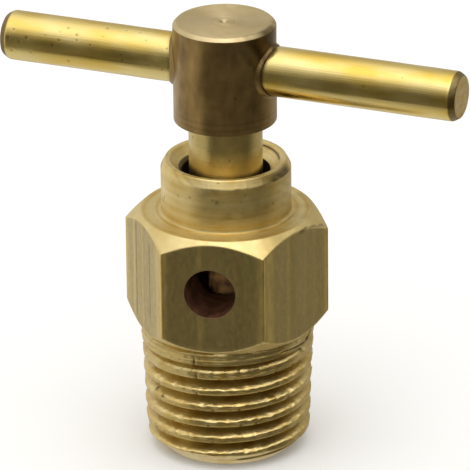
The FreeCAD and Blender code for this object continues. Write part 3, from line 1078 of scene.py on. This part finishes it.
def rod_marks(sizes, rng):
    """Pits of the rod: those on its front, and more at random on its back."""
    back_pits, pit_depth = 40, 0.02
    pits = list(ROD_PITS)
    for _ in range(back_pits):
        pits.append((rng.uniform(-18, 19), rng.uniform(95, 300), rng.uniform(0.05, 0.1)))
    # In the rod's own frame the front is at -90 degrees, and the top at 180.
    marks = []
    for along, up, size in pits:
        place = (-90 - up, along)
        marks.append((sizes.radius / MM, place, place, size, pit_depth))
    return marks


def rod_dirt_and_shade(sizes, stem, angles, section):
    """Dirt on the chamfers of the rod's ends, and painted shade where it enters the head, more on the right.
    """
    chamfer_dirt, right_entry_shade, left_dirt_and_shade, entry_width = 0.68, 0.7, 0.25, 0.13 * MM
    along = section[..., 1]
    from_end = sizes.span / 2 - np.abs(along - sizes.offset)
    chamfer = (from_end > 0.02 * MM) & (from_end < 0.96 * sizes.end_length)
    # Painted shade on the rod where it goes into the head's hole, more on the right
    head_radius = stem.head_radius + stem.burr_height
    mouth = np.sqrt(head_radius ** 2 - np.minimum(sizes.radius * np.sin(angles), head_radius) ** 2)
    off_head = (np.abs(along) - mouth) / entry_width
    entry = np.where(along > 0, right_entry_shade, left_dirt_and_shade) * clamped(1.6 - off_head) * (off_head > -1)
    return np.maximum(chamfer_dirt * chamfer, entry)


def bar_section(sizes):
    """Rows of the rod from end to end along its own axis, and the angles of its columns."""
    columns, step = 160, 0.12 * MM
    face_round, side_round = 0.1 * MM, 0.14 * MM
    low, high = sizes.offset - sizes.span / 2, sizes.offset + sizes.span / 2
    face = sizes.radius - sizes.end_width
    corners = [
        (0, low, 0), (face, low, face_round), (sizes.radius, low + sizes.end_length, side_round),
        (sizes.radius, high - sizes.end_length, side_round), (face, high, face_round), (0, high, 0),
    ]
    return even_rings(corners, columns, lambda radius, level: step)


def draw_waves(sizes, angles, section, rng):
    """Waves the rod's drawn side by a few thousandths of a millimetre."""
    height, spacing = 0.007 * MM, 1.9 * MM
    side = np.abs(section[..., 0] - sizes.radius) < SAME_RADIUS
    wave = smooth_noise(rng, 41, section[..., 1] / spacing + 2 * np.sin(angles))
    section[..., 0] += height * wave * side


class DRAINCOCK_OT_bar(bpy.types.Operator):
    """Make the handle bar, a drawn rod with chamfered ends and small pits"""
    bl_idname = "draincock.bar"
    bl_label = "Handle bar"

    def execute(self, context):
        sizes, finish = context.scene.drain_cock_bar, context.scene.drain_cock_finish
        rng = np.random.default_rng(BAR_SEED)
        section, angles = bar_section(sizes)
        _, level = middles(section)
        end_from = sizes.span / 2 - 0.9 * sizes.end_length
        slots = np.where(np.abs(level - sizes.offset) > end_from, ROD_END, ROD_SIDE)
        marks = rod_marks(sizes, rng)
        draw_waves(sizes, angles, section, rng)
        pits = ROD_PIT_DIRT * scored(angles, section, marks)
        stain = np.maximum(pits, rod_dirt_and_shade(sizes, context.scene.drain_cock_stem, angles, section))
        materials = [drawn_rod_brass(finish), cut_rod_brass(finish)]
        bar = add_piece("bar", in_space(section, angles), ring_faces(*stain.shape), slots, materials,
                        {"stain": stain})
        bar.matrix_world = bar_matrix(sizes)
        shade(bar)
        place_on(bar, "turning_stem", "handle_bar")
        return {"FINISHED"}


class DRAINCOCK_OT_stage(bpy.types.Operator):
    """Set the floor, the soft light and the camera"""
    bl_idname = "draincock.stage"
    bl_label = "Stage"

    def execute(self, context):
        look = context.scene.drain_cock_stage
        make_floor(look)
        make_room(look)
        make_light(context.scene)
        make_camera(context.scene, look)
        return {"FINISHED"}


def add_backdrop(name, mesh, material):
    """Adds a mesh of the stage, which is not part of the object."""
    mesh.materials.append(material)
    backdrop = bpy.data.objects.new(name, mesh)
    bpy.context.scene.collection.objects.link(backdrop)
    return backdrop


def make_floor(look):
    """Wide pale paper just under the part, which can be seen through from below."""
    half = 3.0
    level = -0.02 * MM
    corners = [(-half, -half, level), (half, -half, level), (half, half, level), (-half, half, level)]
    mesh = bpy.data.meshes.new("floor")
    mesh.from_pydata(corners, [], [(0, 1, 2, 3)])
    material, tree, _ = open_material("Pale paper")
    paper = add_node(tree, "ShaderNodeBsdfDiffuse", {"Color": opaque(look.floor)})
    clear = add_node(tree, "ShaderNodeBsdfTransparent")
    from_below = add_node(tree, "ShaderNodeNewGeometry", output="Backfacing")
    both = add_node(tree, "ShaderNodeMixShader", links={0: from_below, 1: paper, 2: clear})
    add_node(tree, "ShaderNodeOutputMaterial", links={"Surface": both})
    add_backdrop("floor", mesh, material).visible_glossy = False


# How bright the mirrored room is round the horizon, by direction about the axis in degrees
ROOM_TONES = [
    (-180, 0.8), (-142, 0.75), (-133, 0.28), (-126, 0.13), (-95, 0.18), (-56, 0.13), (-10, 0.09),
    (10, 0.22), (20, 0.46), (60, 0.5), (100, 0.62), (120, 0.85), (142, 1.0), (165, 0.95),
]
# Soft lights in it: direction about the axis and height in degrees, tone, and how tight they are
ROOM_LIGHTS = [(-90, 80, 2.0, 3), (-80, 70, 3.0, 16), (4, 55, 2.3, 20), (90, -80, 0.85, 3)]
# The paper under the part: the height in degrees at which its edge shows, and its least tone
PAPER_EDGE, PAPER_TONE = -41, 0.55


def room_tone(points, degrees, heights):
    """How bright the mirrored room is at points of a sphere: walls, soft lights and the paper's edge."""
    tone = np.tile(np.interp(degrees, *zip(*ROOM_TONES), period=360), len(heights))
    for about, height, light, tightness in ROOM_LIGHTS:
        towards = Vector((1, 0, 0))
        towards.rotate(Euler((0, -math.radians(height), math.radians(about))))
        tone += (light - tone) * np.maximum(points @ np.array(towards), 0) ** tightness
    # The wall is darker just over the paper's edge, in degrees.
    foot_height, foot_reach, foot_shade, edge_blur = 7, 9, 0.45, 3
    over_edge = np.repeat(np.degrees(heights) - PAPER_EDGE, len(degrees))
    wall_foot = clamped(1 - np.abs(over_edge - foot_height) / foot_reach)
    on_paper = clamped(0.5 - over_edge / edge_blur)
    return np.maximum(tone * (1 - foot_shade * wall_foot), PAPER_TONE * on_paper)


def make_room(look):
    """A large dome that only the metal mirrors: grey walls, a soft light overhead and a pale floor below."""
    reach = 2.0
    degrees = np.linspace(-180, 180, 120, endpoint=False)
    heights = np.radians(np.linspace(-90, 90, 121))
    out, up = np.cos(heights)[:, None], np.sin(heights)[:, None] + 0 * degrees
    section = np.stack(np.broadcast_arrays(out, up), -1)
    points = in_space(section, np.radians(degrees))
    tone = room_tone(points, degrees, heights)
    mesh = bpy.data.meshes.new("mirrored_room")
    mesh.from_pydata((points * reach).tolist(), [], ring_faces(*section.shape[:2]).tolist())
    mesh.attributes.new("tone", "FLOAT", "POINT").data.foreach_set("value", tone.astype(np.float32))
    material, tree, _ = open_material("Grey room")
    level = add_node(tree, "ShaderNodeAttribute", {"attribute_name": "tone"}, output="Fac")
    bright = add_node(tree, "ShaderNodeMapRange", {"From Min": 0.1, "From Max": 1.2}, {"Value": level})
    grey = coated(tree, look.dim_wall, (bright, (1, 1, 1)))
    glow = add_node(tree, "ShaderNodeEmission", links={"Color": grey, "Strength": level})
    add_node(tree, "ShaderNodeOutputMaterial", links={"Surface": glow})
    room = add_backdrop("mirrored_room", mesh, material)
    for kind in ("camera", "diffuse", "transmission", "volume_scatter", "shadow"):
        setattr(room, "visible_" + kind, False)


def make_light(scene):
    """A white room, and one large soft lamp above the camera's side."""
    world = bpy.data.worlds.new("White room")
    world.use_nodes = True
    background = world.node_tree.nodes["Background"]
    background.inputs["Color"].default_value = (1, 1, 1, 1)
    background.inputs["Strength"].default_value = 1.0
    scene.world = world
    brightness = 0.8
    lit_point = Vector((0, 0, 0.02))
    lamp = bpy.data.lights.new("soft_box", "AREA")
    lamp.shape = "RECTANGLE"
    lamp.size, lamp.size_y = 0.5, 0.5
    lamp.energy = brightness * math.pi * lamp.size * lamp.size_y
    holder = bpy.data.objects.new("soft_box", lamp)
    holder.visible_glossy = False
    scene.collection.objects.link(holder)
    holder.location = (-0.04, -0.21, 0.42)
    holder.rotation_euler = (lit_point - holder.location).to_track_quat("-Z", "Y").to_euler()


def make_camera(scene, look):
    """The camera at the photograph's place."""
    sensor_width = 36.0
    out = Vector((math.sin(look.azimuth) * math.cos(look.elevation),
                  -math.cos(look.azimuth) * math.cos(look.elevation), math.sin(look.elevation)))
    right = Vector((math.cos(look.azimuth), math.sin(look.azimuth), 0))
    up = out.cross(right)
    aim = right * look.aim_right + Vector((0, 0, look.aim_level))
    data = bpy.data.cameras.new("camera")
    data.sensor_width = sensor_width
    data.lens = sensor_width * look.focal_pixels / look.image_pixels
    data.clip_start, data.clip_end = 0.01, 20.0
    camera = bpy.data.objects.new("camera", data)
    scene.collection.objects.link(camera)
    side = right * math.cos(look.roll) - up * math.sin(look.roll)
    top = right * math.sin(look.roll) + up * math.cos(look.roll)
    camera.matrix_world = (Matrix.Translation(aim + out * look.distance)
                           @ Matrix((side, top, out)).transposed().to_4x4())
    scene.camera = camera


class DRAINCOCK_PT_panel(bpy.types.Panel):
    """Lists the pieces of the drain cock"""
    bl_idname = "DRAINCOCK_PT_panel"
    bl_label = "Drain Cock"
    bl_space_type = "VIEW_3D"
    bl_region_type = "UI"
    bl_category = "Drain Cock"

    def draw(self, context):
        for operator in OPERATORS:
            self.layout.operator(operator.bl_idname)
        for name in SETTINGS:
            box = self.layout.box()
            group = getattr(context.scene, name)
            for prop in group.bl_rna.properties:
                if prop.identifier not in ("name", "rna_type"):
                    box.prop(group, prop.identifier)


OPERATORS = (DRAINCOCK_OT_body, DRAINCOCK_OT_stem, DRAINCOCK_OT_bar, DRAINCOCK_OT_stage)
SETTINGS = {
    "drain_cock_body": BodySizes,
    "drain_cock_stem": StemSizes,
    "drain_cock_bar": BarSizes,
    "drain_cock_finish": FinishColours,
    "drain_cock_stage": StageLook,
}


def register():
    for cls in (*SETTINGS.values(), *OPERATORS, DRAINCOCK_PT_panel):
        bpy.utils.register_class(cls)
    for name, group in SETTINGS.items():
        setattr(bpy.types.Scene, name, bpy.props.PointerProperty(type=group))


def unregister():
    for name in SETTINGS:
        delattr(bpy.types.Scene, name)
    for cls in (DRAINCOCK_PT_panel, *reversed(OPERATORS), *reversed(SETTINGS.values())):
        bpy.utils.unregister_class(cls)


def main():
    register()
    bpy.context.scene.view_settings.view_transform = "Standard"
    bpy.ops.draincock.body()
    bpy.ops.draincock.stem()
    bpy.ops.draincock.bar()
    bpy.ops.draincock.stage()


if __name__ == "__main__":
    main()
